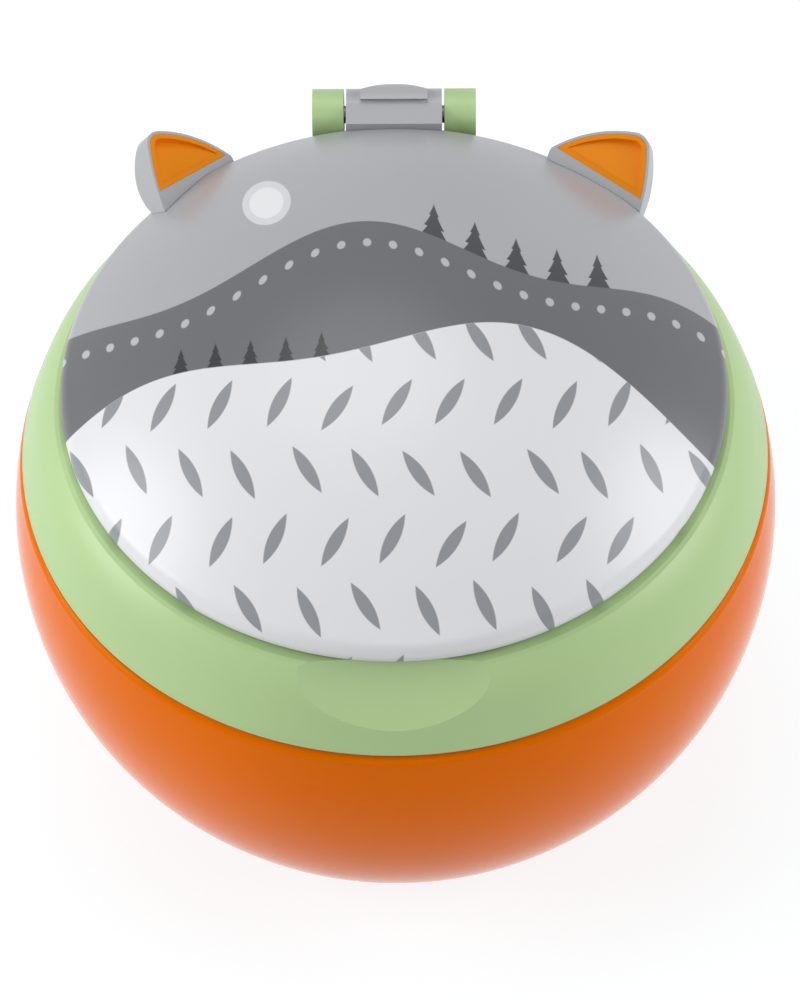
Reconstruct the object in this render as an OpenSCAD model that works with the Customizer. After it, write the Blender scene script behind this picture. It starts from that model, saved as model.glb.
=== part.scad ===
// Toddler snack container: a ball-shaped bowl, a screw-on collar with a soft flap guard,
// and a hinged dome lid with two rounded ears.
// Units are millimetres. +Z is up, the thumb scoop faces -Y, the hinge is at +Y.
// z = 0 is the table the foot stands on.

/* [Ball] */
// outside radius of the ball-shaped bowl
ball_r = 52.5; // [50:0.5:56]
// radius of the flat foot the bowl stands on
foot_r = 30; // [26:1:33]
// wall thickness of the bowl
bowl_wall = 2.0; // [1.6:0.1:2.4]
// height of the screw seam above the ball centre
seam_h = 13.6; // [12.6:0.1:14]
// radius of the rounded top edge of the bowl
shoulder_round = 1.4; // [0.8:0.1:2]
// depth of the recess under the foot
foot_recess = 1.0; // [0.6:0.1:1.4]
// width of the flat ring the bowl stands on
foot_ring = 6; // [5:0.5:9]
// radius of the rounded edge round the foot
foot_round = 2.5; // [1.5:0.25:3]

/* [Neck] */
// how far the neck's outside stands in from the ball's widest line
neck_inset = 11; // [10.5:0.25:12]
// wall thickness of the neck
neck_wall = 2.0; // [1.6:0.1:2.2]
// thickness of the ledge in the bowl that the neck ring stands on
ledge_t = 0.8; // [0.6:0.1:1]
// width of that ledge
ledge_w = 1.1; // [0.8:0.1:1.3]

/* [Collar] */
// how far the collar's face lies inside the bowl's ball
collar_inset = 0; // [0:0.1:0.4]
// thickness of the collar's outer skin
collar_wall = 2.2; // [1.8:0.1:2.6]
// thickness of the inner ring that carries the screw thread
skirt_wall = 1.6; // [1.4:0.1:1.8]
// radial room between the neck and that ring for the thread
thread_room = 2.0; // [1.8:0.1:2.2]
// height of the lid's parting plane above the ball centre
deck_h = 24.9; // [24.6:0.1:25.4]
// thickness of the flat deck round the mouth
deck_t = 3.1; // [2.8:0.1:3.4]
// radius of the soft turn-in at the top of the collar's skin
turn_in = 14; // [11:1:18]
// how far below the parting plane the turn-in starts
turn_drop = 4.9; // [4:0.1:6]
// depth of the bevel along the collar's upper rim, square to the bevel
rim_bevel = 0.12; // [0.08:0.01:0.2]
// radius of the rounded edge of the mouth
mouth_round = 0.6; // [0.4:0.05:0.8]
// width of the lead-in bevel under the mouth
mouth_lead = 1.2; // [0.8:0.1:1.4]
// how far the collar's mouth stands in from the neck's bore
mouth_step = 0.9; // [0.7:0.1:1.3]
// number of ribs between skin and thread ring
rib_count = 12; // [8:1:16]
// thickness of each rib
rib_t = 1.4; // [1:0.1:2]

/* [Thumb scoop] */
// width of the scoop at the lid's edge
scoop_w = 28.7; // [24:0.5:32]
// height of the scoop below the lid's edge, along the skin
scoop_drop = 8.2; // [7:0.2:9.6]
// radius of the scoop's hollow
scoop_hollow = 150; // [120:10:240]

/* [Guard] */
// thickness of the guard's outer rim
guard_rim_t = 1.9; // [1.7:0.1:2.1]
// thickness of the guard's web and flaps
guard_web_t = 1.1; // [0.8:0.1:1.3]
// height of the web above the rim's underside
web_lift = 0.5; // [0.3:0.1:0.8]
// how far the ring that tucks into the neck reaches down
tuck_depth = 2.2; // [1.6:0.1:3]
// thickness of that ring
tuck_t = 1.2; // [1:0.1:1.5]
// distance from the neck's bore to the flaps' fold lines
fold_inset = 7.5; // [6.5:0.5:10]
// radius of the rolled edge along each flap's fold
fold_bead = 0.75; // [0.65:0.05:0.9]
// slit between two flaps
slit = 0.5; // [0.4:0.05:0.8]

/* [Lid] */
// height of the dome's top above the ball centre
lid_top_h = 45; // [43:0.5:48]
// how far the lid's widest line stands in from the collar's rim
lid_inset = 0.8; // [0.5:0.1:1.2]
// wall thickness of the lid
lid_wall = 2.0; // [1.6:0.1:2.2]
// radius of the dome's rounded edge
edge_round = 3.0; // [2.6:0.1:4]
// height of the dome's widest line above its foot
edge_rise = 2.0; // [1.6:0.1:2.4]
// depth of the plug that sits in the collar's mouth
plug_depth = 3.0; // [2.7:0.1:3.1]
// thickness of the flat flange between the plug and the dome's edge
flange_t = 1.6; // [1.4:0.1:2]
// wall thickness of the plug
plug_wall = 1.6; // [1.4:0.1:2]
// radial room between plug and mouth
plug_room = 0.6; // [0.5:0.05:0.8]
// height of the seal ring on the plug
seal_h = 1.1; // [0.9:0.1:1.2]
// depth of the seal's groove in the plug
seal_groove = 0.85; // [0.7:0.05:0.95]
// half the angle covered by the snap bead at the front
snap_half = 12; // [8:1:16]
// radius of the snap bead
snap_bead = 0.6; // [0.5:0.05:0.65]
// how far the snap bead stands out of the plug
snap_out = 0.3; // [0.2:0.05:0.35]

/* [Hinge] */
// how far the hinge pin stands outside the collar's rim
hinge_out = 2.55; // [2.3:0.05:2.9]
// height of the hinge pin above the parting plane
hinge_rise = 2.6; // [2.2:0.1:2.8]
// radius of the hinge barrels
barrel_r = 3.6; // [3.3:0.1:3.7]
// length of the lid's middle barrel
barrel_len = 13.4; // [11:0.2:16]
// length of each collar barrel
knuckle_len = 4.4; // [3.8:0.1:5.5]
// radius of the hinge pin
pin_r = 1.25; // [1:0.05:1.6]
// how far the hinge brackets run down the skin
bracket_h = 9; // [8:0.5:10]
// how far the brackets' outer face reaches below the parting plane
bracket_drop = 3.5; // [3:0.1:4.5]
// how far the brackets' inner face lies before the pin
bracket_in = 1.5; // [1.4:0.1:2]
// how far the pin's ends lie inside the barrels' ends
pin_sink = 0.3; // [0.2:0.1:0.6]
// height of the low crown on the lid's barrel
crown_h = 0.6; // [0.4:0.05:0.7]
// width of the low crown on the lid's barrel
crown_w = 8.8; // [7:0.2:10]

/* [Ears] */
// angle of each ear from the back, seen from above
ear_turn = 39.5; // [36:0.5:44]
// slope of the ear's own axis above the horizontal
ear_slope = 31; // [28:1:34]
// how far the ears stand off the lid's edge
ear_out = 0.8; // [0.4:0.1:1.2]
// how far an ear's tip stands outwards from the middle of its foot
ear_skew = 2.2; // [0:0.1:3]
// turn of the left ear's face about its own axis, outwards
left_twist = -20; // [-24:1:12]
// turn of the right ear's face about its own axis, outwards
right_twist = 8; // [-24:1:12]
// half the width of an ear at the lid
ear_half = 7.5; // [7:0.1:9]
// height of an ear above the lid
ear_h = 7.8; // [7.4:0.1:9]
// radius of an ear's tip
ear_tip = 2.4; // [2:0.1:3]
// how far below an ear's foot the centres of its side curves lie
ear_slim = 9; // [3:0.5:10]
// how far an ear's front stands before its axis
ear_front = 1.5; // [1.2:0.1:2]
// how far an ear's foot reaches into the lid's edge
ear_root = 2.5; // [2.2:0.1:2.8]
// radius of the ball that rounds an ear's back
ear_back_r = 9.3; // [8.8:0.05:10]
// how far that ball's centre lies before the ear's axis
ear_back_y = 4.6; // [4:0.1:5]
// height of that ball's centre above the ear's foot
ear_back_z = 0.5; // [0.3:0.05:0.7]
// width of the shell left showing around an ear's inlay
ear_border = 0.4; // [0.4:0.05:0.9]
// height of the inlay's lower edge above the ear's foot
inlay_foot = 0.2; // [0:0.1:1]
// depth of the inlay's pocket
inlay_t = 1.5; // [1.3:0.1:1.6]
// width of the raised lip round the inlay's dish
lip_w = 0.8; // [0.6:0.1:1.2]
// slope of the dish's floor, deepest at the tip
dish_slope = 10; // [6:1:12]
// radius of an ear's peg in the lid
peg_r = 1.7; // [1.4:0.1:2]

/* [Clearances] */
// gap between parts that rest on each other
seat_gap = 0.3; // [0.25:0.05:0.4]
// gap around parts that swing past each other
swing_gap = 0.35; // [0.3:0.05:0.45]
// radial room of the hinge pin in the lid's barrel
pin_room = 0.06; // [0.04:0.01:0.09]
// radial room of pressed-in parts
press_room = 0.03; // [0.02:0.01:0.05]

/* [Hidden] */
$fn = 96;
FLAPS = 8;
big = 200;
tiny = 0.01;
// how far a cutter runs past what it cuts
past = 1;
// how far a rounding stands proud of its neighbours, so that their outlines cross
proud = 0.012;
// height of the ball's centre above the table
ball_z = sqrt(ball_r * ball_r - foot_r * foot_r);
// collar: skin, deck and mouth
face_r = ball_r - collar_inset;
turn_a = asin((deck_h - turn_drop) / face_r);
turn_c = (face_r - turn_in) * [cos(turn_a), sin(turn_a)];
rim_r = turn_c[0] + sqrt(turn_in * turn_in - pow(deck_h - turn_c[1], 2));
rim_look = (90 + atan2(deck_h - turn_c[1], rim_r - turn_c[0])) / 2;
shelf_z = deck_h - deck_t;
// neck and guard: the deck comes down on the guard's rim, the rim on the neck's lip
neck_r = ball_r - neck_inset;
neck_in = neck_r - neck_wall;
guard_z = shelf_z - seat_gap - guard_rim_t;
lip_z = guard_z - seat_gap;
mouth_r = neck_in - mouth_step;
skirt_in = neck_r + thread_room;
skirt_out = skirt_in + skirt_wall;
web_z = guard_z + web_lift;
guard_out = skirt_in - 0.8;
tuck_out = neck_in - seat_gap;
fold_r = neck_in - fold_inset;
fold_z = web_z + guard_web_t / 2;
// bowl: top face of the shoulder, seat of the neck, inside floor
shoulder_z = seam_h - seat_gap;
seat_z = shoulder_z - bowl_wall + ledge_t;
floor_z = -ball_z + foot_recess + bowl_wall;
// lid
foot_z = deck_h + seat_gap;
edge_z = foot_z + edge_rise;
edge_c = rim_r - lid_inset - edge_round;
dome_z = (pow(lid_top_h - edge_round, 2) - edge_c * edge_c - edge_z * edge_z)
       / (2 * (lid_top_h - edge_round - edge_z));
dome_r = lid_top_h - dome_z;
plug_out = mouth_r - plug_room;
plug_in = plug_out - plug_wall;
plug_z = foot_z - plug_depth;
seal_z = foot_z - 0.15 - seal_h;
snap_z = plug_z + snap_bead + 0.2;
snap_c = plug_out + snap_out - snap_bead;
// hinge: line of the pin, inner and outer ends of the collar's barrels
hinge_y = rim_r + hinge_out;
hinge_z = deck_h + hinge_rise;
knuckle_x = barrel_len / 2 + swing_gap;
hinge_end = knuckle_x + knuckle_len;
crown_x = crown_w / 2 + 0.3;
// flats that meet a barrel lie this far inside its tangent
flat_in = 0.1;
// the arm from the lid's edge to its barrel starts inside the lid's wall
arm_y = edge_c + edge_round - lid_wall + 0.4;
arm_z = foot_z + 0.9;
// ears: where the ear's axis meets the lid's rounded edge
ear_rho = edge_c + edge_round * cos(ear_slope);
ear_z = edge_z + edge_round * sin(ear_slope);

// ---- helpers -------------------------------------------------------------

// lifts from the ball's centre to the table frame
module from_centre() {
  translate([0, 0, ball_z]) children();
}

// turns a half profile (x = radius, y = height) about the ball's axis
module turned() {
  from_centre() rotate_extrude($fn = 160) children();
}

// a rectangle given by its two corners
module span(x0, z0, x1, z1) {
  translate([x0, z0]) square([x1 - x0, z1 - z0]);
}

// the region past a corner, between two directions seen from the rounding's centre
module corner_waste(c, f, a, b) {
  m = (a + b) / 2;
  reach = 3 * f;
  polygon([c, c + reach * [cos(a), sin(a)], c + 1.5 * reach * [cos(m), sin(m)],
           c + reach * [cos(b), sin(b)]]);
}

// a half disc about the ball's centre, cut to a height range, with rounded rim corners
module ball_slice(r, z0, z1, f0, f1) {
  c1 = [sqrt(pow(r - f1, 2) - pow(z1 - f1, 2)), z1 - f1];
  c0 = [sqrt(pow(r - f0, 2) - pow(z0 + f0, 2)), z0 + f0];
  difference() {
    intersection() {
      circle(r = r, $fn = 240);
      span(0, z0, r + 1, z1);
    }
    if (f1 > 0) corner_waste(c1, f1, atan2(c1[1], c1[0]), 90);
    if (f0 > 0) corner_waste(c0, f0, -90, atan2(c0[1], c0[0]));
  }
  if (f1 > 0) translate(c1) circle(r = f1 + proud, $fn = 48);
  if (f0 > 0) translate(c0) circle(r = f0 + proud, $fn = 48);
}

// cuts a corner at the origin off to a depth f; the new face looks in a given direction
module bevel(f, look) {
  rotate(look - 90) translate([-8 * f, -f]) square([16 * f, 8 * f]);
}

// ---- bowl ----------------------------------------------------------------

// ball, flat foot with a recess, rounded shoulder, and a stepped bore for the neck
module bowl_profile() {
  difference() {
    ball_slice(ball_r, -ball_z, shoulder_z, foot_round, shoulder_round);
    intersection() {
      circle(r = ball_r - bowl_wall, $fn = 240);
      span(0, floor_z, ball_r, shoulder_z - bowl_wall);
    }
    span(0, shoulder_z - bowl_wall - past, neck_r - ledge_w, shoulder_z + past);
    span(0, seat_z, neck_r + press_room, shoulder_z + past);
    span(0, -ball_z - past, foot_r - foot_ring, -ball_z + foot_recess);
  }
}

module bowl() {
  color("#D9641C")
  turned() bowl_profile();
}

// the ring that is welded into the bowl's bore: a ball can't be moulded in one with its mouth
module neck() {
  color("#D9641C")
  turned()
  {
    span(neck_in, seat_z + press_room, neck_r, lip_z - neck_wall / 2);
    translate([neck_in + neck_wall / 2, lip_z - neck_wall / 2]) circle(r = neck_wall / 2, $fn = 48);
  }
}

// ---- guard ---------------------------------------------------------------

// outer rim on the neck's lip, a tuck ring inside the neck, a thin web, an eight-sided hole
module guard_ring() {
  color("#E9EDE6")
  difference() {
    turned() {
      span(tuck_out - tuck_t, guard_z, guard_out, guard_z + guard_rim_t);
      span(tuck_out - tuck_t, guard_z - tuck_depth, tuck_out, guard_z + web_lift);
      span(fold_r, web_z, tuck_out - tuck_t / 2, web_z + guard_web_t);
    }
    from_centre()
      cylinder(r = (fold_r + fold_bead) / cos(180 / FLAPS), h = big, center = true, $fn = FLAPS);
  }
}

// one petal: folds about the rolled bead at its outer end, tapers to the middle
module flap(n) {
  half = tan(180 / FLAPS);
  root = fold_r - seat_gap;
  side = root * half - slit / 2 / cos(180 / FLAPS);
  color("#EEF1EA")
  from_centre() rotate([0, 0, (n - 0.5) * 360 / FLAPS])
  {
    translate([0, 0, web_z]) linear_extrude(guard_web_t)
      polygon([[root, -side], [root, side], [slit * 1.6, slit * 0.3], [slit * 1.6, -slit * 0.3]]);
    translate([root, side - fold_bead, fold_z]) rotate([90, 0, 0])
      cylinder(r = fold_bead, h = 2 * (side - fold_bead), $fn = 32);
  }
}

module guard_flap_1() { flap(1); }
module guard_flap_2() { flap(2); }
module guard_flap_3() { flap(3); }
module guard_flap_4() { flap(4); }
module guard_flap_5() { flap(5); }
module guard_flap_6() { flap(6); }
module guard_flap_7() { flap(7); }
module guard_flap_8() { flap(8); }

// ---- collar --------------------------------------------------------------

// an open-bottomed shell: ball-shaped skin outside, flat deck with the mouth on top
module collar_profile() {
  difference() {
    collar_outline();
    translate([rim_r, deck_h]) bevel(rim_bevel, rim_look);
    intersection() {
      circle(r = face_r - collar_wall, $fn = 240);
      span(0, seam_h - past, face_r, shelf_z);
    }
    span(0, seam_h - past, mouth_r, deck_h + past);
    translate([mouth_r, shelf_z]) bevel(mouth_lead * sin(45), 225);
    corner_waste([mouth_r + mouth_round, deck_h - mouth_round], mouth_round, 90, 180);
  }
  translate([mouth_r + mouth_round, deck_h - mouth_round]) circle(r = mouth_round + proud, $fn = 32);
}

// the ball's curve, which turns in more sharply from turn_h up to the rim
module collar_outline() {
  difference() {
    ball_slice(face_r, seam_h, deck_h, 0.5, 0);
    corner_waste(turn_c, turn_in, turn_a, 90);
  }
  intersection() {
    translate(turn_c) circle(r = turn_in + proud, $fn = 240);
    span(turn_c[0] - 2, turn_c[1], face_r, deck_h);
  }
}

// ribs that centre the thread ring in the skin
module collar_ribs() {
  from_centre() intersection() {
    sphere(r = face_r - collar_wall / 2, $fn = 160);
    for (i = [0 : rib_count - 1])
      rotate([0, 0, (i + 0.5) * 360 / rib_count])
        translate([skirt_out + press_room, -rib_t / 2, seam_h + 1.5])
          cube([face_r - skirt_out, rib_t, shelf_z - seam_h - 1]);
  }
}

// the hollow pressed into the skin in front, under the lid's edge
module scoop_cutter() {
  trace = (pow(scoop_w / 2, 2) + scoop_drop * scoop_drop) / (2 * scoop_drop);
  up = atan2(deck_h, rim_r) + (trace - scoop_drop) / face_r * 180 / PI;
  open = trace / face_r * 180 / PI;
  reach = face_r * cos(open) + sqrt(pow(scoop_hollow, 2) - pow(face_r * sin(open), 2));
  from_centre() rotate([-up, 0, 0]) translate([0, -reach, 0]) rotate([90, 0, 0])
    sphere(r = scoop_hollow, $fn = 160);
}

// a bar along X about the hinge line
module hinge_bar(r, x0, x1) {
  from_centre() translate([x0, hinge_y, hinge_z]) rotate([0, 90, 0])
    cylinder(r = r, h = x1 - x0, $fn = 64);
}

// the collar's barrel and the bracket that carries it down into the skin
module knuckle() {
  root_z = deck_h - bracket_h;
  root_y = sqrt(face_r * face_r - root_z * root_z) - collar_wall / 2;
  back_y = hinge_y + barrel_r - flat_in;
  hinge_bar(barrel_r, knuckle_x, hinge_end);
  from_centre() translate([knuckle_x, 0, 0]) rotate([90, 0, 90]) linear_extrude(knuckle_len)
    polygon([[hinge_y - bracket_in, hinge_z], [hinge_y - bracket_in, deck_h - collar_wall / 4],
             [root_y, root_z], [back_y, deck_h - bracket_drop], [back_y, hinge_z]]);
}

// the groove that the lid's snap bead drops into
module snap_groove() {
  from_centre() rotate([0, 0, 270 - snap_half - 2]) rotate_extrude(angle = 2 * snap_half + 4, $fn = 160)
    translate([snap_c, snap_z]) circle(r = snap_bead + 0.45, $fn = 32);
}

module collar() {
  color("#A9C98C")
  difference() {
    union() {
      turned() collar_profile();
      collar_ribs();
      knuckle();
      mirror([1, 0, 0]) knuckle();
    }
    scoop_cutter();
    snap_groove();
    hinge_bar(barrel_r + swing_gap, -knuckle_x, knuckle_x);
    hinge_bar(barrel_r + crown_h + swing_gap, -crown_x - swing_gap, crown_x + swing_gap);
    hinge_bar(pin_r + press_room, -hinge_end - past, hinge_end + past);
  }
}

// the threaded ring that is welded under the deck, inside the ribs
module thread_ring() {
  color("#A9C98C")
  turned() intersection() {
    span(skirt_in, seam_h + seat_gap, skirt_out, shelf_z - press_room);
    circle(r = face_r - collar_wall - press_room, $fn = 240);
  }
}

module hinge_pin() {
  color("#C9CDD1")
  hinge_bar(pin_r, -hinge_end + pin_sink, hinge_end - pin_sink);
}

// ---- lid -----------------------------------------------------------------

// the dome's half section, drawn in by a distance t
module dome_profile(t) {
  k = 2.2 * dome_r / sqrt(pow(edge_c, 2) + pow(edge_z - dome_z, 2));
  intersection() {
    circle_at(0, dome_z, dome_r - proud - t);
    polygon([[0, dome_z], [k * edge_c, dome_z + k * (edge_z - dome_z)], [0, dome_z + 2.2 * dome_r]]);
    span(0, foot_z, 2 * ball_r, 2 * ball_r);
  }
  intersection() {
    union() {
      translate([edge_c, edge_z]) circle(r = edge_round - t, $fn = 96);
      span(0, foot_z - 1, edge_c, edge_z);
    }
    span(0, foot_z, 2 * ball_r, 2 * ball_r);
  }
}

module circle_at(x, z, r) {
  translate([x, z]) circle(r = r, $fn = 320);
}

// shell, flat foot, and the plug with its seal groove
module lid_profile() {
  difference() {
    union() {
      difference() {
        dome_profile(0);
        dome_profile(lid_wall);
      }
      span(plug_in, plug_z, plug_out, foot_z + flange_t);
      span(plug_in, foot_z, edge_c + edge_round - lid_wall / 2, foot_z + flange_t);
    }
    span(plug_out - seal_groove, seal_z, plug_out + past, seal_z + seal_h);
  }
}

// a place on the lid's edge with Z square to it and -Y towards the middle
module on_lid(side) {
  from_centre() mirror([side < 0 ? 1 : 0, 0, 0])
    rotate([0, 0, -ear_turn]) translate([0, ear_rho, ear_z]) rotate([ear_slope - 90, 0, 0]) children();
}

// the peg that holds an ear in the lid, or the hole for it
module ear_peg(side, r, z0, z1) {
  on_lid(side) translate([0, ear_front / 2, z0]) cylinder(r = r, h = z1 - z0, $fn = 48);
}

// the low crown on the middle barrel, seen edge-on from the front
module barrel_crown() {
  lens = (pow(crown_w / 2, 2) + crown_h * crown_h) / (2 * crown_h);
  intersection() {
    hinge_bar(barrel_r + crown_h + swing_gap / 7, -crown_x, crown_x);
    from_centre() translate([0, hinge_y, hinge_z]) rotate([-53, 0, 0])
      translate([0, 0, barrel_r + crown_h - lens]) sphere(r = lens, $fn = 160);
    from_centre() translate([0, hinge_y, hinge_z]) rotate([-53, 0, 0])
      translate([-crown_w, -crown_w, barrel_r / 2]) cube([2 * crown_w, 2 * crown_w, 2 * barrel_r]);
  }
}

module lid_shell() {
  color("#AEB0B5")
  difference() {
    union() {
      turned() lid_profile();
      hinge_bar(barrel_r, -barrel_len / 2, barrel_len / 2);
      barrel_crown();
      from_centre() translate([-barrel_len / 2, arm_y, arm_z])
        cube([barrel_len, hinge_y - arm_y, hinge_z + barrel_r - 1.5 * flat_in - arm_z]);
      from_centre() rotate([0, 0, 270 - snap_half]) rotate_extrude(angle = 2 * snap_half, $fn = 160)
        translate([snap_c, snap_z]) circle(r = snap_bead, $fn = 32);
    }
    for (side = [-1, 1]) mirror([side < 0 ? 1 : 0, 0, 0])
      hinge_bar(barrel_r + swing_gap, barrel_len / 2 + swing_gap / 7, hinge_end + swing_gap);
    hinge_bar(pin_r + pin_room, -hinge_end, hinge_end);
    for (side = [-1, 1]) ear_peg(side, peg_r + press_room, -lid_wall - past, 3 * lid_wall);
  }
}

module lid_seal() {
  color("#DDE1DC")
  turned() difference() {
    span(plug_out - seal_groove + press_room, seal_z + press_room,
         mouth_r - seat_gap, seal_z + seal_h - press_room);
    corner_waste([mouth_r - seat_gap - 0.3, seal_z + press_room + 0.3], 0.3, -90, 0);
  }
}

// ---- ears ----------------------------------------------------------------

// a side curve that starts at half width w and runs into the tip's circle: [centre x, radius]
function side_arc(w, t, q, skew) =
  let (d = ear_slim,
       a = (w * w - skew * skew + d * d - pow(t + d, 2) + q * q) / (2 * q),
       b = (w - skew) / q,
       m = a * b - w,
       c = (-m + sqrt(m * m - (b * b - 1) * (a * a - w * w - d * d))) / (b * b - 1))
  [-c, a + b * c];

// a skewed pointed arch with a round tip: half width w, height h, tip radius q
module arch(w, h, q) {
  tip = [ear_skew, h - q];
  right = side_arc(w, h - q, q, ear_skew);
  left = side_arc(w, h - q, q, -ear_skew);
  c_right = [right[0], -ear_slim];
  c_left = [-left[0], -ear_slim];
  // where each side runs into the tip's circle
  p_right = c_right + (tip - c_right) * right[1] / (right[1] - q);
  p_left = c_left + (tip - c_left) * left[1] / (left[1] - q);
  run = (p_right - p_left) * w;
  intersection() {
    translate(c_right) circle(r = right[1], $fn = 160);
    translate(c_left) circle(r = left[1], $fn = 160);
    polygon([[-2 * w, -ear_root], [2 * w, -ear_root], p_right + run, p_left - run]);
  }
  translate(tip) circle(r = q, $fn = 64);
}

// the ear's inlay outline, drawn in by a distance t
module inlay_outline(t) {
  intersection() {
    arch(ear_half - ear_border - t, ear_h - ear_border - t, ear_tip - ear_border - t);
    span(-ear_half, inlay_foot + t, ear_half, ear_h);
  }
}

// an ear's own frame: off the lid's edge, leaning and turned, its face towards -Y
module on_ear(side) {
  on_lid(side) translate([0, 0, ear_out]) rotate([0, 0, side < 0 ? left_twist : right_twist]) children();
}

// a plate between two distances behind the ear's front, cut to an outline
module plate(from, to) {
  translate([0, to - ear_front, 0]) rotate([90, 0, 0]) linear_extrude(to - from) children();
}

// the ball that rounds the ear's back
module ear_ball(r) {
  translate([ear_skew / 2, -ear_back_y, ear_back_z]) sphere(r = r, $fn = 120);
}

module ear_shell(side) {
  color("#B4B6BA")
  difference() {
    on_ear(side) difference() {
      intersection() {
        plate(0, ear_half) arch(ear_half, ear_h, ear_tip);
        ear_ball(ear_back_r);
      }
      plate(-past, inlay_t) inlay_outline(0);
    }
    turned() dome_profile(-press_room);
    turned() span(0, -ball_r, 2 * ball_r, foot_z + flange_t / 3);
  }
  color("#B4B6BA")
  ear_peg(side, peg_r, -lid_wall, ear_out + inlay_foot - seat_gap);
}

module ear_inlay(side) {
  color("#EE9322")
  on_ear(side) intersection() {
    difference() {
      plate(0, inlay_t - press_room) inlay_outline(press_room);
      dish();
    }
    ear_ball(ear_back_r - tiny);
  }
}

// the sloping hollow in the inlay, inside a raised lip
module dish() {
  translate([0, -ear_front, inlay_foot]) rotate([-dish_slope, 0, 0]) translate([0, ear_front, -inlay_foot])
    plate(-2 * inlay_t, 0) inlay_outline(lip_w);
}

module ear_left() { ear_shell(-1); }
module ear_right() { ear_shell(1); }
module ear_inlay_left() { ear_inlay(-1); }
module ear_inlay_right() { ear_inlay(1); }

bowl();
neck();
guard_ring();
guard_flap_1();
guard_flap_2();
guard_flap_3();
guard_flap_4();
guard_flap_5();
guard_flap_6();
guard_flap_7();
guard_flap_8();
collar();
thread_ring();
hinge_pin();
lid_shell();
lid_seal();
ear_left();
ear_right();
ear_inlay_left();
ear_inlay_right();
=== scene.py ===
import math

import bmesh
import bpy
from mathutils import Matrix, Vector


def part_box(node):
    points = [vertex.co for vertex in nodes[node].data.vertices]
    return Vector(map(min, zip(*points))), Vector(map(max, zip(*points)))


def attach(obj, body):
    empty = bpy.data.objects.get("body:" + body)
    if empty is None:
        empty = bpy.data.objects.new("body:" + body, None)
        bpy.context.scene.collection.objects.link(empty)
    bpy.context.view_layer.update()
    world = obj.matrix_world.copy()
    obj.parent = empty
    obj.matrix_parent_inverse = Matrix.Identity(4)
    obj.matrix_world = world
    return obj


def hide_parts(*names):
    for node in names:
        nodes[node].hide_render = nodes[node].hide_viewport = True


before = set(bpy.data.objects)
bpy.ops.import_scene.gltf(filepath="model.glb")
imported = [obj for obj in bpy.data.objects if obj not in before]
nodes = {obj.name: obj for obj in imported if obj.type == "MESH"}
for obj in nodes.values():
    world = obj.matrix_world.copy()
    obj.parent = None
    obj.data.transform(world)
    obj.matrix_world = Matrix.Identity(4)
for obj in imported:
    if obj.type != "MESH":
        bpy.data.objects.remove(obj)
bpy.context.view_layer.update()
scene = bpy.context.scene
MM = 0.001


def span_of(node):
    """A CAD node's box at rest, in millimetres: low corner, high corner."""
    lo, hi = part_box(node)
    return [v / MM for v in lo], [v / MM for v in hi]


# sizes in millimetres, read from the frame where a node's box gives them; heights are above the table
BOWL_HI = span_of("bowl")[1]
NECK_R = span_of("neck")[1][0]
SEAL_LO, SEAL_HI = span_of("lid_seal")
PIN_LO, PIN_HI = span_of("hinge_pin")
BALL_R = BOWL_HI[0]
FOOT_R = 30.0       # the flat foot
BALL_Z = math.sqrt(BALL_R ** 2 - FOOT_R ** 2)
THREAD_ROOM = 2.0   # between the neck and the collar's inner ring
SKIRT_R = NECK_R + THREAD_ROOM
LEAD = 6.0          # the collar's rise in one turn
FOLD_R = 31.7       # from the middle to the petals' fold
FLAPS = 8
SLIT = 0.5          # between two petals
FLAP_T = 1.1
DECK_H = 24.9       # the collar's upper edge above the ball's centre
FLAP_Z = sum(v[2] for v in span_of("guard_flap_1")) / 2
DECK_Z = BALL_Z + DECK_H


# ---- node helpers ---------------------------------------------------------

class Net:
    """Builds the node tree of a material or a world with short calls."""

    def __init__(self, owner, out_kind="ShaderNodeOutputMaterial"):
        owner.use_nodes = True
        self.owner = owner
        self.tree = owner.node_tree
        self.tree.nodes.clear()
        self.out = self.add(out_kind)

    def add(self, kind, **props):
        n = self.tree.nodes.new(kind)
        for k, v in props.items():
            setattr(n, k, v)
        return n

    def put(self, socket, value):
        if isinstance(value, bpy.types.NodeSocket):
            self.tree.links.new(value, socket)
        else:
            socket.default_value = value

    def math(self, op, a, b=0.0, c=0.0):
        n = self.add("ShaderNodeMath", operation=op)
        for s, v in zip(n.inputs, (a, b, c)):
            self.put(s, v)
        return n.outputs[0]

    def sum(self, *terms):
        total = terms[0]
        for t in terms[1:]:
            total = self.math("ADD", total, t)
        return total

    def mix(self, fac, a, b):
        n = self.add("ShaderNodeMix", data_type="RGBA")
        self.put(n.inputs[0], fac)
        self.put(n.inputs[6], a)
        self.put(n.inputs[7], b)
        return n.outputs[2]

    def coords(self):
        """Object coordinates in millimetres, as separate x, y, z."""
        tc = self.add("ShaderNodeTexCoord")
        mul = self.add("ShaderNodeVectorMath", operation="SCALE")
        self.put(mul.inputs[0], tc.outputs["Object"])
        mul.inputs["Scale"].default_value = 1000.0
        sep = self.add("ShaderNodeSeparateXYZ")
        self.put(sep.inputs[0], mul.outputs[0])
        return mul.outputs[0], sep.outputs

    def noise(self, vec, scale, detail=2.0, rough=0.5):
        n = self.add("ShaderNodeTexNoise")
        self.put(n.inputs["Vector"], vec)
        n.inputs["Scale"].default_value = scale
        n.inputs["Detail"].default_value = detail
        n.inputs["Roughness"].default_value = rough
        return n.outputs["Fac"]

    def remap(self, v, a, b, c, d, smooth=False):
        n = self.add("ShaderNodeMapRange")
        if smooth:
            n.interpolation_type = "SMOOTHSTEP"
        for s, x in zip(n.inputs, (v, a, b, c, d)):
            self.put(s, x)
        return n.outputs[0]

    def edge(self, v, soft=0.07):
        """1 where v is above 0, 0 where it is below, over a thin soft line."""
        return self.remap(v, -soft, soft, 0.0, 1.0)


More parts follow.
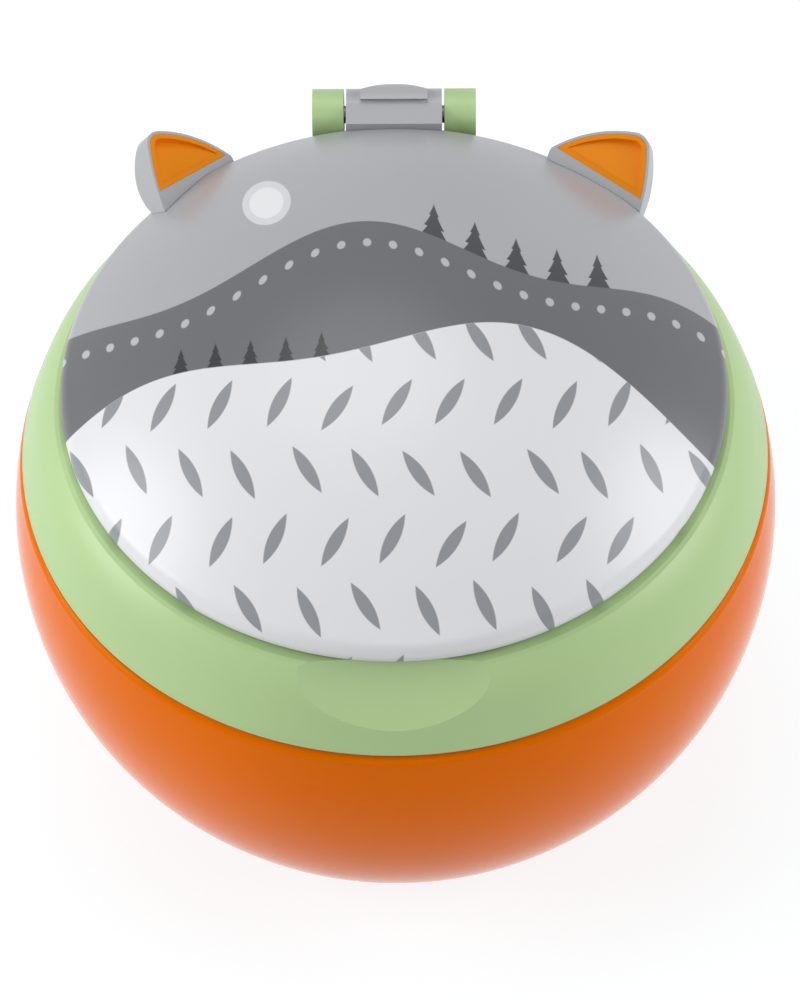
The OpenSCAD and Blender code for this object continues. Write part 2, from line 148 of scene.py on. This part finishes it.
def lin(hex_colour):
    """A hex colour as Blender's linear RGBA."""
    h = hex_colour.lstrip("#")
    c = [int(h[i:i + 2], 16) / 255 for i in (0, 2, 4)]
    return tuple(x / 12.92 if x <= 0.04045 else ((x + 0.055) / 1.055) ** 2.4 for x in c) + (1.0,)


def plastic(name, colour, rough=0.3, sheen_var=0.04, tint=0.03, subsurface=0.0, grain=0.01,
            metal=0.0, spec=0.5, ior=1.47, gleam=None, paint=None):
    """Moulded plastic: slight colour flow, gloss that varies a little, and a fine skin."""
    n = Net(bpy.data.materials.new(name))
    vec, xyz = n.coords()
    bsdf = n.add("ShaderNodeBsdfPrincipled")
    n.put(n.out.inputs[0], bsdf.outputs[0])
    flow = n.noise(vec, 0.035, 0.0, 0.5)
    light = tuple(min(1.0, c * (1 + tint)) for c in colour[:3]) + (1.0,)
    dark = tuple(c * (1 - tint) for c in colour[:3]) + (1.0,)
    base = n.mix(n.remap(flow, 0.2, 0.8, 0.0, 1.0, smooth=True), dark, light)
    if paint:
        base = paint(n, vec, xyz, base)
    n.put(bsdf.inputs["Base Color"], base)
    wear = n.noise(vec, 0.05, 0.0, 0.5)
    n.put(bsdf.inputs["Roughness"],
          n.remap(wear, 0.2, 0.8, rough - sheen_var / 2, rough + sheen_var / 2, smooth=True))
    bsdf.inputs["IOR"].default_value = ior
    bsdf.inputs["Metallic"].default_value = metal
    bsdf.inputs["Specular IOR Level"].default_value = spec
    if gleam:
        bsdf.inputs["Specular Tint"].default_value = gleam
    if subsurface:
        bsdf.inputs["Subsurface Weight"].default_value = subsurface
        bsdf.inputs["Subsurface Radius"].default_value = (1.0, 0.5, 0.3)
        bsdf.inputs["Subsurface Scale"].default_value = 0.002
    swell = n.math("MULTIPLY", n.noise(vec, 0.12, 0.0), 0.6)
    pores = n.math("MULTIPLY", n.noise(vec, 2.4, 3.0), 0.12)
    bump = n.add("ShaderNodeBump")
    bump.inputs["Strength"].default_value = 0.25
    bump.inputs["Distance"].default_value = grain * MM
    n.put(bump.inputs["Height"], n.sum(swell, pores))
    n.put(bsdf.inputs["Normal"], bump.outputs[0])
    return n.owner


def dress(names, mat):
    for name in names:
        o = nodes[name]
        o.data.materials.clear()
        o.data.materials.append(mat)


# ---- the lid's print -------------------------------------------------------

VIEW_TILT = math.radians(53.0)
SUN_RING, SUN = lin("#D9DBDE"), lin("#EDEEF0")
RIDGE, RIDGE_FIRS, RIDGE_DOTS = lin("#66686C"), lin("#3A3D41"), lin("#B9BBBF")
SLOPE, SLOPE_FIRS, SLOPE_LEAVES = lin("#E2E3E6"), lin("#24282C"), lin("#8D9196")
SUN_AT = (-17.0, 40.5)


def hill(n, u, top, swell, length, shift, sag):
    """Height of a wavy hill line over the picture's width."""
    wave = n.math("SINE", n.math("MULTIPLY_ADD", u, 2 * math.pi / length, shift))
    drop = n.math("MULTIPLY", n.math("MULTIPLY", u, u), -sag)
    return n.sum(n.math("MULTIPLY", wave, swell), drop, top)


def wrapped(n, v, step):
    """The offset from the nearest multiple of step."""
    return n.math("SUBTRACT", n.math("FLOORED_MODULO", n.math("ADD", v, step / 2), step), step / 2)


def leaves(n, u, v, gap_u, gap_v, half_w, half_l, lean):
    """Staggered rows of slim leaves, leaning left in one row and right in the next. 1 inside."""
    stray_u, stray_v, sway = 1.4, 1.0, 0.2  # how far each leaf strays across and along, and turns
    row = n.math("FLOOR", n.math("DIVIDE", v, gap_v))
    odd = n.math("FLOORED_MODULO", row, 2.0)
    sign = n.math("MULTIPLY_ADD", odd, 2.0, -1.0)
    su = n.math("MULTIPLY_ADD", odd, gap_u / 2, u)
    col = n.math("FLOOR", n.math("DIVIDE", su, gap_u))
    cell = n.add("ShaderNodeCombineXYZ")
    n.put(cell.inputs[0], col)
    n.put(cell.inputs[1], row)
    rand = n.add("ShaderNodeTexWhiteNoise", noise_dimensions="2D")
    n.put(rand.inputs["Vector"], cell.outputs[0])
    ran = n.add("ShaderNodeSeparateXYZ")
    n.put(ran.inputs[0], rand.outputs["Color"])
    du = n.math("SUBTRACT", n.math("FLOORED_MODULO", su, gap_u), gap_u / 2)
    du = n.math("ADD", du, n.math("MULTIPLY_ADD", ran.outputs[0], stray_u, -stray_u / 2))
    dv = n.math("SUBTRACT", n.math("FLOORED_MODULO", v, gap_v), gap_v / 2)
    dv = n.math("ADD", dv, n.math("MULTIPLY_ADD", ran.outputs[1], stray_v, -stray_v / 2))
    turn = n.math("MULTIPLY", sign, n.math("MULTIPLY_ADD", ran.outputs[2], sway, lean))
    c, s = n.math("COSINE", turn), n.math("SINE", turn)
    a = n.math("SUBTRACT", n.math("MULTIPLY", du, c), n.math("MULTIPLY", dv, s))
    b = n.math("ADD", n.math("MULTIPLY", du, s), n.math("MULTIPLY", dv, c))
    t = n.math("DIVIDE", b, half_l)
    slim = n.math("MULTIPLY", n.math("SUBTRACT", 1.0, n.math("MULTIPLY", t, t)), half_w)
    return n.edge(n.math("SUBTRACT", slim, n.math("ABSOLUTE", a)))


def firs(n, u, v, foot, gap, tall, half, low, high):
    """A row of small fir trees standing on a line, between two places across. 1 inside."""
    du = wrapped(n, u, gap)
    up = n.math("SUBTRACT", v, foot)
    # three stacked skirts: the width saws down towards the tip
    t = n.math("DIVIDE", up, tall)
    taper = n.math("SUBTRACT", 1.0, t)
    saw = n.math("FLOORED_MODULO", n.math("MULTIPLY", t, 3.0), 1.0)
    width = n.math("MULTIPLY", n.math("MULTIPLY_ADD", saw, -0.38, 1.15), n.math("MULTIPLY", taper, half))
    inside = n.edge(n.math("SUBTRACT", width, n.math("ABSOLUTE", du)))
    inside = n.math("MULTIPLY", inside, n.edge(up))
    inside = n.math("MULTIPLY", inside, n.edge(n.math("SUBTRACT", tall, up)))
    inside = n.math("MULTIPLY", inside, n.edge(n.math("SUBTRACT", u, low)))
    return n.math("MULTIPLY", inside, n.edge(n.math("SUBTRACT", high, u)))


def disc(n, u, v, at_u, at_v, r):
    a, b = n.math("SUBTRACT", u, at_u), n.math("SUBTRACT", v, at_v)
    far = n.math("SQRT", n.math("ADD", n.math("MULTIPLY", a, a), n.math("MULTIPLY", b, b)))
    return n.edge(n.math("SUBTRACT", r, far))


def outer_skin(n, vec, xyz):
    """1 on the outside of the lid above its foot, 0 on the inside and on the plug."""
    tc = n.add("ShaderNodeTexCoord")
    outward = n.add("ShaderNodeVectorMath", operation="SUBTRACT")
    n.put(outward.inputs[0], vec)
    outward.inputs[1].default_value = (0, 0, BALL_Z)
    dot = n.add("ShaderNodeVectorMath", operation="DOT_PRODUCT")
    n.put(dot.inputs[0], outward.outputs[0])
    n.put(dot.inputs[1], tc.outputs["Normal"])
    facing = n.math("GREATER_THAN", dot.outputs["Value"], 1.0)
    return n.math("MULTIPLY", facing, n.math("GREATER_THAN", xyz[2], DECK_Z + 0.5))


def lid_print(n, vec, xyz, base):
    """Hills in the lid's greys: a white slope with leaves, a dark ridge with firs, a pale sun."""
    u = xyz[0]
    high = n.math("SUBTRACT", xyz[2], BALL_Z)
    v = n.math("ADD", n.math("MULTIPLY", xyz[1], math.sin(VIEW_TILT)),
               n.math("MULTIPLY", high, math.cos(VIEW_TILT)))
    on = outer_skin(n, vec, xyz)
    ridge = hill(n, u, 35.0, 2.6, 46.0, 2.2, 0.0075)
    slope = hill(n, u, 23.0, 3.0, 58.0, -0.6, 0.0092)
    img = base
    img = n.mix(disc(n, u, v, *SUN_AT, 3.3), img, SUN_RING)
    img = n.mix(disc(n, u, v, *SUN_AT, 2.3), img, SUN)
    trees = firs(n, u, v, n.math("ADD", ridge, -0.6), 5.4, 5.2, 1.75, 3.0, 29.0)
    img = n.mix(trees, img, RIDGE_FIRS)
    back = n.edge(n.math("SUBTRACT", ridge, v))
    img = n.mix(back, img, RIDGE)
    line = n.math("ABSOLUTE", n.math("SUBTRACT", n.math("SUBTRACT", ridge, v), 3.0))
    dots = wrapped(n, u, 3.4)
    far = n.math("SQRT", n.math("ADD", n.math("MULTIPLY", line, line), n.math("MULTIPLY", dots, dots)))
    dotted = n.math("MULTIPLY", back, n.edge(n.math("SUBTRACT", 0.55, far)))
    img = n.mix(dotted, img, RIDGE_DOTS)
    small = firs(n, u, v, n.math("ADD", slope, -0.4), 4.6, 3.6, 1.2, -31.0, -8.0)
    img = n.mix(small, img, SLOPE_FIRS)
    front = n.edge(n.math("SUBTRACT", slope, v))
    img = n.mix(front, img, SLOPE)
    leaf = n.math("MULTIPLY", front, leaves(n, u, v, 7.4, 8.6, 0.85, 3.5, 0.42))
    img = n.mix(leaf, img, SLOPE_LEAVES)
    return n.mix(on, base, img)


# ---- materials --------------------------------------------------------------

GREY = lin("#ADAFB3")
ORANGE = lin("#E86E00")
GREEN = lin("#B0CD91")
EAR_ORANGE = lin("#EC8A0C")
SOFT_WHITE = lin("#E9ECE6")

m_bowl = plastic("bowl_plastic", ORANGE, rough=0.13, subsurface=0.1, ior=1.2,
                 gleam=lin("#FFC850"))
m_collar = plastic("collar_plastic", GREEN, rough=0.38, subsurface=0.1)
# the roughness of lid and inlays stays above 0.275: one that varies across that value shows a line there
m_lid = plastic("lid_plastic", GREY, rough=0.31, paint=lid_print)
m_ear = plastic("ear_plastic", GREY, rough=0.32)
m_inlay = plastic("inlay_plastic", EAR_ORANGE, rough=0.31, spec=0.15)
m_soft = plastic("guard_rubber", SOFT_WHITE, rough=0.5, subsurface=0.1)
# the pin's steel is darker than its own tone: partly its colour, partly painted shade for the dark gaps at
# the hinge
m_pin_painted_gap_shade = plastic("pin_metal_painted_gap_shade", lin("#85888C"), rough=0.35, metal=1.0)
dress(["bowl", "neck"], m_bowl)
dress(["collar", "thread_ring"], m_collar)
dress(["lid_shell"], m_lid)
dress(["ear_left", "ear_right"], m_ear)
dress(["ear_inlay_left", "ear_inlay_right"], m_inlay)
dress(["guard_ring", "lid_seal"] + ["guard_flap_%d" % i for i in range(1, 9)], m_soft)
dress(["hinge_pin"], m_pin_painted_gap_shade)


# ---- pieces made here -------------------------------------------------------

def solid(name, points, faces, mat, body, slot, stands_for=()):
    """A mesh from points in millimetres, smooth except at its sharp edges, riding on a body."""
    mesh = bpy.data.meshes.new(name)
    mesh.from_pydata([(x * MM, y * MM, z * MM) for x, y, z in points], [], faces)
    bm = bmesh.new()
    bm.from_mesh(mesh)
    bmesh.ops.remove_doubles(bm, verts=bm.verts, dist=1e-7)
    bmesh.ops.recalc_face_normals(bm, faces=bm.faces)
    bm.to_mesh(mesh)
    bm.free()
    mesh.shade_smooth()
    mesh.set_sharp_from_angle(angle=math.radians(38))
    obj = bpy.data.objects.new(name, mesh)
    scene.collection.objects.link(obj)
    mesh.materials.append(mat)
    if stands_for:
        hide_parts(*stands_for)
    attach(obj, body)
    return obj


def loft(rings, closed=False):
    """Faces between equal rings of point numbers, laid out one after another."""
    m, k = len(rings[0]), len(rings)
    points = [p for ring in rings for p in ring]
    faces = []
    for i in range(k if closed else k - 1):
        a, b = i * m, (i + 1) % k * m
        for j in range(m):
            faces.append((a + j, a + (j + 1) % m, b + (j + 1) % m, b + j))
    if not closed:
        faces.append(tuple(range(m)))
        faces.append(tuple(range((k - 1) * m, k * m)))
    return points, faces


def lathe(profile, steps):
    """A closed half profile (radius, height) turned about Z."""
    rings = []
    for i in range(steps):
        a = 2 * math.pi * i / steps
        rings.append([(r * math.cos(a), r * math.sin(a), z) for r, z in profile])
    return loft(rings, closed=True)


def thread(name, root_r, out, z0, turn0, sweep, mat, body, slot):
    """One screw ridge on a wall of radius root_r, standing out (+) or in (-), with faded ends."""
    tall, bury, steps = 1.15, 0.25, 96
    foot, crest = 0.78, 0.34  # half widths at the wall and at the top
    rings = []
    for i in range(steps + 1):
        t = i / steps
        to_end = min(t, 1 - t)
        fade = max(math.sin(math.pi * to_end * 9), 0.02) if to_end < 1 / 18 else 1.0
        angle = turn0 + sweep * t
        z = z0 + LEAD * sweep * t / (2 * math.pi)
        h = tall * fade
        section = [(-bury, -foot), (0.0, -foot), (h * 0.86, -crest - 0.1), (h, -crest + 0.06),
                   (h, crest - 0.06), (h * 0.86, crest + 0.1), (0.0, foot), (-bury, foot)]
        rings.append([((root_r + out * d) * math.cos(angle), (root_r + out * d) * math.sin(angle), z + s)
                      for d, s in section])
    solid(name, *loft(rings), mat, body, slot)


def make_threads():
    """Two starts on the neck, and two in the collar half a pitch higher."""
    sweep = math.radians(190)
    low = BOWL_HI[2] + 1.3
    for k in range(2):
        thread("neck_thread_%d" % (k + 1), NECK_R, 1, low, math.pi * k, sweep, m_bowl, "bowl", "bowl")
        thread("collar_thread_%d" % (k + 1), SKIRT_R, -1, low + 1.1, math.pi * k - math.radians(24), sweep,
               m_collar, "collar", "collar")


def petal_ring(x, bead):
    """The petal's cross section at distance x from the middle: a soft-edged slat with a low rib."""
    around, side_power, face_power = 28, 0.42, 0.55
    rib_h, rib_w, rib_grows = 0.2, 0.55, 6
    half = x * math.tan(math.pi / FLAPS) - SLIT / 2 / math.cos(math.pi / FLAPS)
    if bead > 0:
        half = min(half, FOLD_R * math.tan(math.pi / FLAPS) - SLIT - 0.3)
    thick = max(FLAP_T / 2 * (0.72 + 0.26 * x / FOLD_R), bead)
    ring = []
    for j in range(around):
        a = 2 * math.pi * j / around
        c, s = math.cos(a), math.sin(a)
        y = half * math.copysign(abs(c) ** side_power, c)
        z = thick * math.copysign(abs(s) ** face_power, s)
        rib = 0.0
        if s > 0 and bead == 0:
            rib = rib_h * math.exp(-(y / rib_w) ** 2) * min(1.0, x / rib_grows)
        ring.append((x, y, min(z + rib, FLAP_T / 2 + 0.19)))
    return ring


def make_petals():
    """Soft petals with rounded sides, a rib down the middle and the rolled bead at the fold."""
    bead_r, bead_steps = 0.74, 16
    stations = [1.1, 1.3, 1.8, 2.6, 4, 6, 9, 12, 15, 18, 21, 24, 26.5, 28.5, 30, 30.6, 30.9]
    for i in range(FLAPS):
        rings = [petal_ring(x, 0.0) for x in stations]
        for k in range(1, bead_steps):
            a = math.pi * (1 - k / bead_steps)
            rings.append(petal_ring(FOLD_R + bead_r * math.cos(a), max(bead_r * math.sin(a), 0.12)))
        points, faces = loft(rings)
        turn = 2 * math.pi * (i + 0.5) / FLAPS
        c, s = math.cos(turn), math.sin(turn)
        points = [(x * c - y * s, x * s + y * c, z + FLAP_Z) for x, y, z in points]
        solid("petal_%d" % (i + 1), points, faces, m_soft, "flap_%d" % (i + 1), "guard",
              ("guard_flap_%d" % (i + 1),))


def make_seal():
    """A ring with two soft lips on its outside."""
    z0, z1, ro = SEAL_LO[2], SEAL_HI[2], SEAL_HI[0]
    wall = 1.12
    ri = ro - wall
    # one lip, as (out from the ring's radius, up from its face)
    lip = [(-0.42, 0.0), (-0.16, 0.05), (-0.03, 0.17), (0.0, 0.28), (-0.05, 0.4), (-0.24, 0.5)]
    low = [(ro + d, z0 + h) for d, h in lip]
    high = [(ro + d, z1 - h) for d, h in reversed(lip)]
    profile = [(ri, z0)] + low + high + [(ri, z1)]
    solid("seal_ring", *lathe(profile, 160), m_soft, "lid", "seal", ("lid_seal",))


def make_pin():
    """A drawn pin with chamfered ends and a small centre mark in each."""
    r, end = (PIN_HI[2] - PIN_LO[2]) / 2, PIN_HI[0]
    mid_y, mid_z = (PIN_LO[1] + PIN_HI[1]) / 2, (PIN_LO[2] + PIN_HI[2]) / 2
    # (radius, place along the pin): the centre mark, the face and the chamfer
    half = [(0.02, end - 0.3), (0.3, end - 0.05), (0.42, end), (r - 0.25, end), (r, end - 0.25)]
    profile = half + [(a, -x) for a, x in reversed(half)]
    points, faces = lathe(profile, 48)
    points = [(z, mid_y + x, mid_z + y) for x, y, z in points]
    solid("pin", points, faces, m_pin_painted_gap_shade, "collar", "pin", ("hinge_pin",))


def bead(name, mid_r, mid_z, r, low, high, mat, body, slot):
    """A fine ring over a rounded rim: an arc about (mid_r, mid_z), closed inside the wall behind it."""
    arc = []
    steps = 14
    for k in range(steps + 1):
        a = math.radians(low + (high - low) * k / steps)
        arc.append((mid_r + r * math.cos(a), mid_z + r * math.sin(a)))
    arc.append((mid_r - 0.1, mid_z + r / 3))
    solid(name, *lathe(arc, 288), mat, body, slot)


def make_rims():
    """The collar's lower rim and the bowl's shoulder, finer than the solids' own facets."""
    collar_mid_r, collar_mid_z, collar_round = 50.014, BALL_Z + 14.14, 0.558
    bowl_mid_r, bowl_mid_z, bowl_round = 49.72, BOWL_HI[2] - 1.4, 1.412
    bead("collar_rim", collar_mid_r, collar_mid_z, collar_round, -92, 40, m_collar, "collar", "collar")
    bead("bowl_rim", bowl_mid_r, bowl_mid_z, bowl_round, 0, 102, m_bowl, "bowl", "bowl")


def make_gate_mark():
    """The moulding's gate in the recess under the foot."""
    profile = [(0.01, 1.1), (0.01, 0.86), (0.9, 0.8), (1.5, 0.84), (1.7, 0.95), (1.7, 1.1)]
    solid("gate_mark", *lathe(profile, 48), m_bowl, "bowl", "bowl")


make_threads()
make_petals()
make_seal()
make_pin()
make_gate_mark()
make_rims()


# ---- room, lights, camera -------------------------------------------------

def shown(n):
    """1 for rays that show the backdrop: straight from the camera, mirrored, or through glass."""
    lp = n.add("ShaderNodeLightPath")
    return n.math("MAXIMUM", n.math("MAXIMUM", lp.outputs["Is Camera Ray"], lp.outputs["Is Glossy Ray"]),
                  lp.outputs["Is Transmission Ray"])


def make_floor():
    """Pale paper. What the camera sees of it is near white and keeps a faint shadow."""
    bpy.ops.mesh.primitive_plane_add(size=6.0, location=(0, 0, -0.0002))
    floor = bpy.context.object
    floor.name = "floor"
    n = Net(bpy.data.materials.new("floor_paper"))
    paper = n.add("ShaderNodeBsdfDiffuse")
    paper.inputs[0].default_value = (0.8, 0.8, 0.8, 1)
    faint = n.add("ShaderNodeBsdfDiffuse")
    lift = n.add("ShaderNodeEmission")
    vec, xyz = n.coords()
    far = n.add("ShaderNodeVectorMath", operation="LENGTH")
    n.put(far.inputs[0], vec)
    fade_from, fade_to = 150.0, 700.0
    away = n.remap(far.outputs["Value"], fade_from, fade_to, 0.0, 1.0, smooth=True)
    n.put(faint.inputs[0], n.mix(away, (0.25, 0.31, 0.33, 1), (0, 0, 0, 1)))
    n.put(lift.inputs[0], n.mix(away, (0.78, 0.78, 0.78, 1), (1, 1, 1, 1)))
    lift.inputs[1].default_value = 1.0
    both = n.add("ShaderNodeAddShader")
    n.put(both.inputs[0], faint.outputs[0])
    n.put(both.inputs[1], lift.outputs[0])
    pick = n.add("ShaderNodeMixShader")
    n.put(pick.inputs[0], shown(n))
    n.put(pick.inputs[1], paper.outputs[0])
    n.put(pick.inputs[2], both.outputs[0])
    n.put(n.out.inputs[0], pick.outputs[0])
    floor.data.materials.append(n.owner)


def area(name, at, size, power):
    """A round soft lamp that looks at the middle of the object."""
    data = bpy.data.lights.new(name, "AREA")
    data.shape = "DISK"
    data.size = size
    data.energy = power
    lamp = bpy.data.objects.new(name, data)
    lamp.location = at
    lamp.rotation_euler = (Vector((0, 0, BALL_Z * MM)) - Vector(at)).to_track_quat("-Z", "Y").to_euler()
    scene.collection.objects.link(lamp)


def make_lights():
    """Two soft boxes low at the sides, one above and behind, and an even white room."""
    world = bpy.data.worlds.new("studio")
    n = Net(world, "ShaderNodeOutputWorld")
    room = n.add("ShaderNodeBackground")
    room.inputs[0].default_value = (1, 1, 1, 1)
    room.inputs[1].default_value = 0.30
    white = n.add("ShaderNodeBackground")
    white.inputs[0].default_value = (1, 1, 1, 1)
    white.inputs[1].default_value = 1.0
    pick = n.add("ShaderNodeMixShader")
    n.put(pick.inputs[0], shown(n))
    n.put(pick.inputs[1], room.outputs[0])
    n.put(pick.inputs[2], white.outputs[0])
    n.put(n.out.inputs[0], pick.outputs[0])
    scene.world = world
    area("left_box", (-0.85, -0.08, 0.42), 0.6, 5.2)
    area("right_box", (0.85, -0.02, 0.42), 0.6, 4.1)
    area("top_box", (-0.15, 0.35, 1.1), 0.8, 3.0)
    area("front_fill", (0.1, -0.95, 0.55), 0.6, 1.2)


def make_camera():
    """The photograph's view: 53 degrees above the horizon, almost straight on, from 525 mm."""
    az, el, dist, roll = math.radians(0.5), math.radians(53.4), 0.525, math.radians(-0.67)
    picture_tall, sensor = 1000, 36
    px = 7.20 / MM  # pixels a metre at the ball's centre
    centre = Vector((0, 0, BALL_Z * MM))
    back = Vector((math.sin(az) * math.cos(el), -math.cos(az) * math.cos(el), math.sin(el)))
    right = Vector((math.cos(az), math.sin(az), 0))
    up = back.cross(right)
    right, up = (right * math.cos(roll) + up * math.sin(roll), up * math.cos(roll) - right * math.sin(roll))
    aim = centre + right * (4.3 / px) + up * (3.4 / px)  # the ball's centre is a few pixels off the middle
    data = bpy.data.cameras.new("camera")
    data.sensor_width = sensor
    data.lens = px * dist / picture_tall * sensor
    data.clip_start, data.clip_end = 0.01, 20  # metres
    cam = bpy.data.objects.new("camera", data)
    cam.matrix_world = Matrix((right, up, back)).transposed().to_4x4()
    cam.location = aim + back * dist
    scene.collection.objects.link(cam)
    scene.camera = cam


make_floor()
make_lights()
make_camera()
scene.view_settings.view_transform = "Standard"
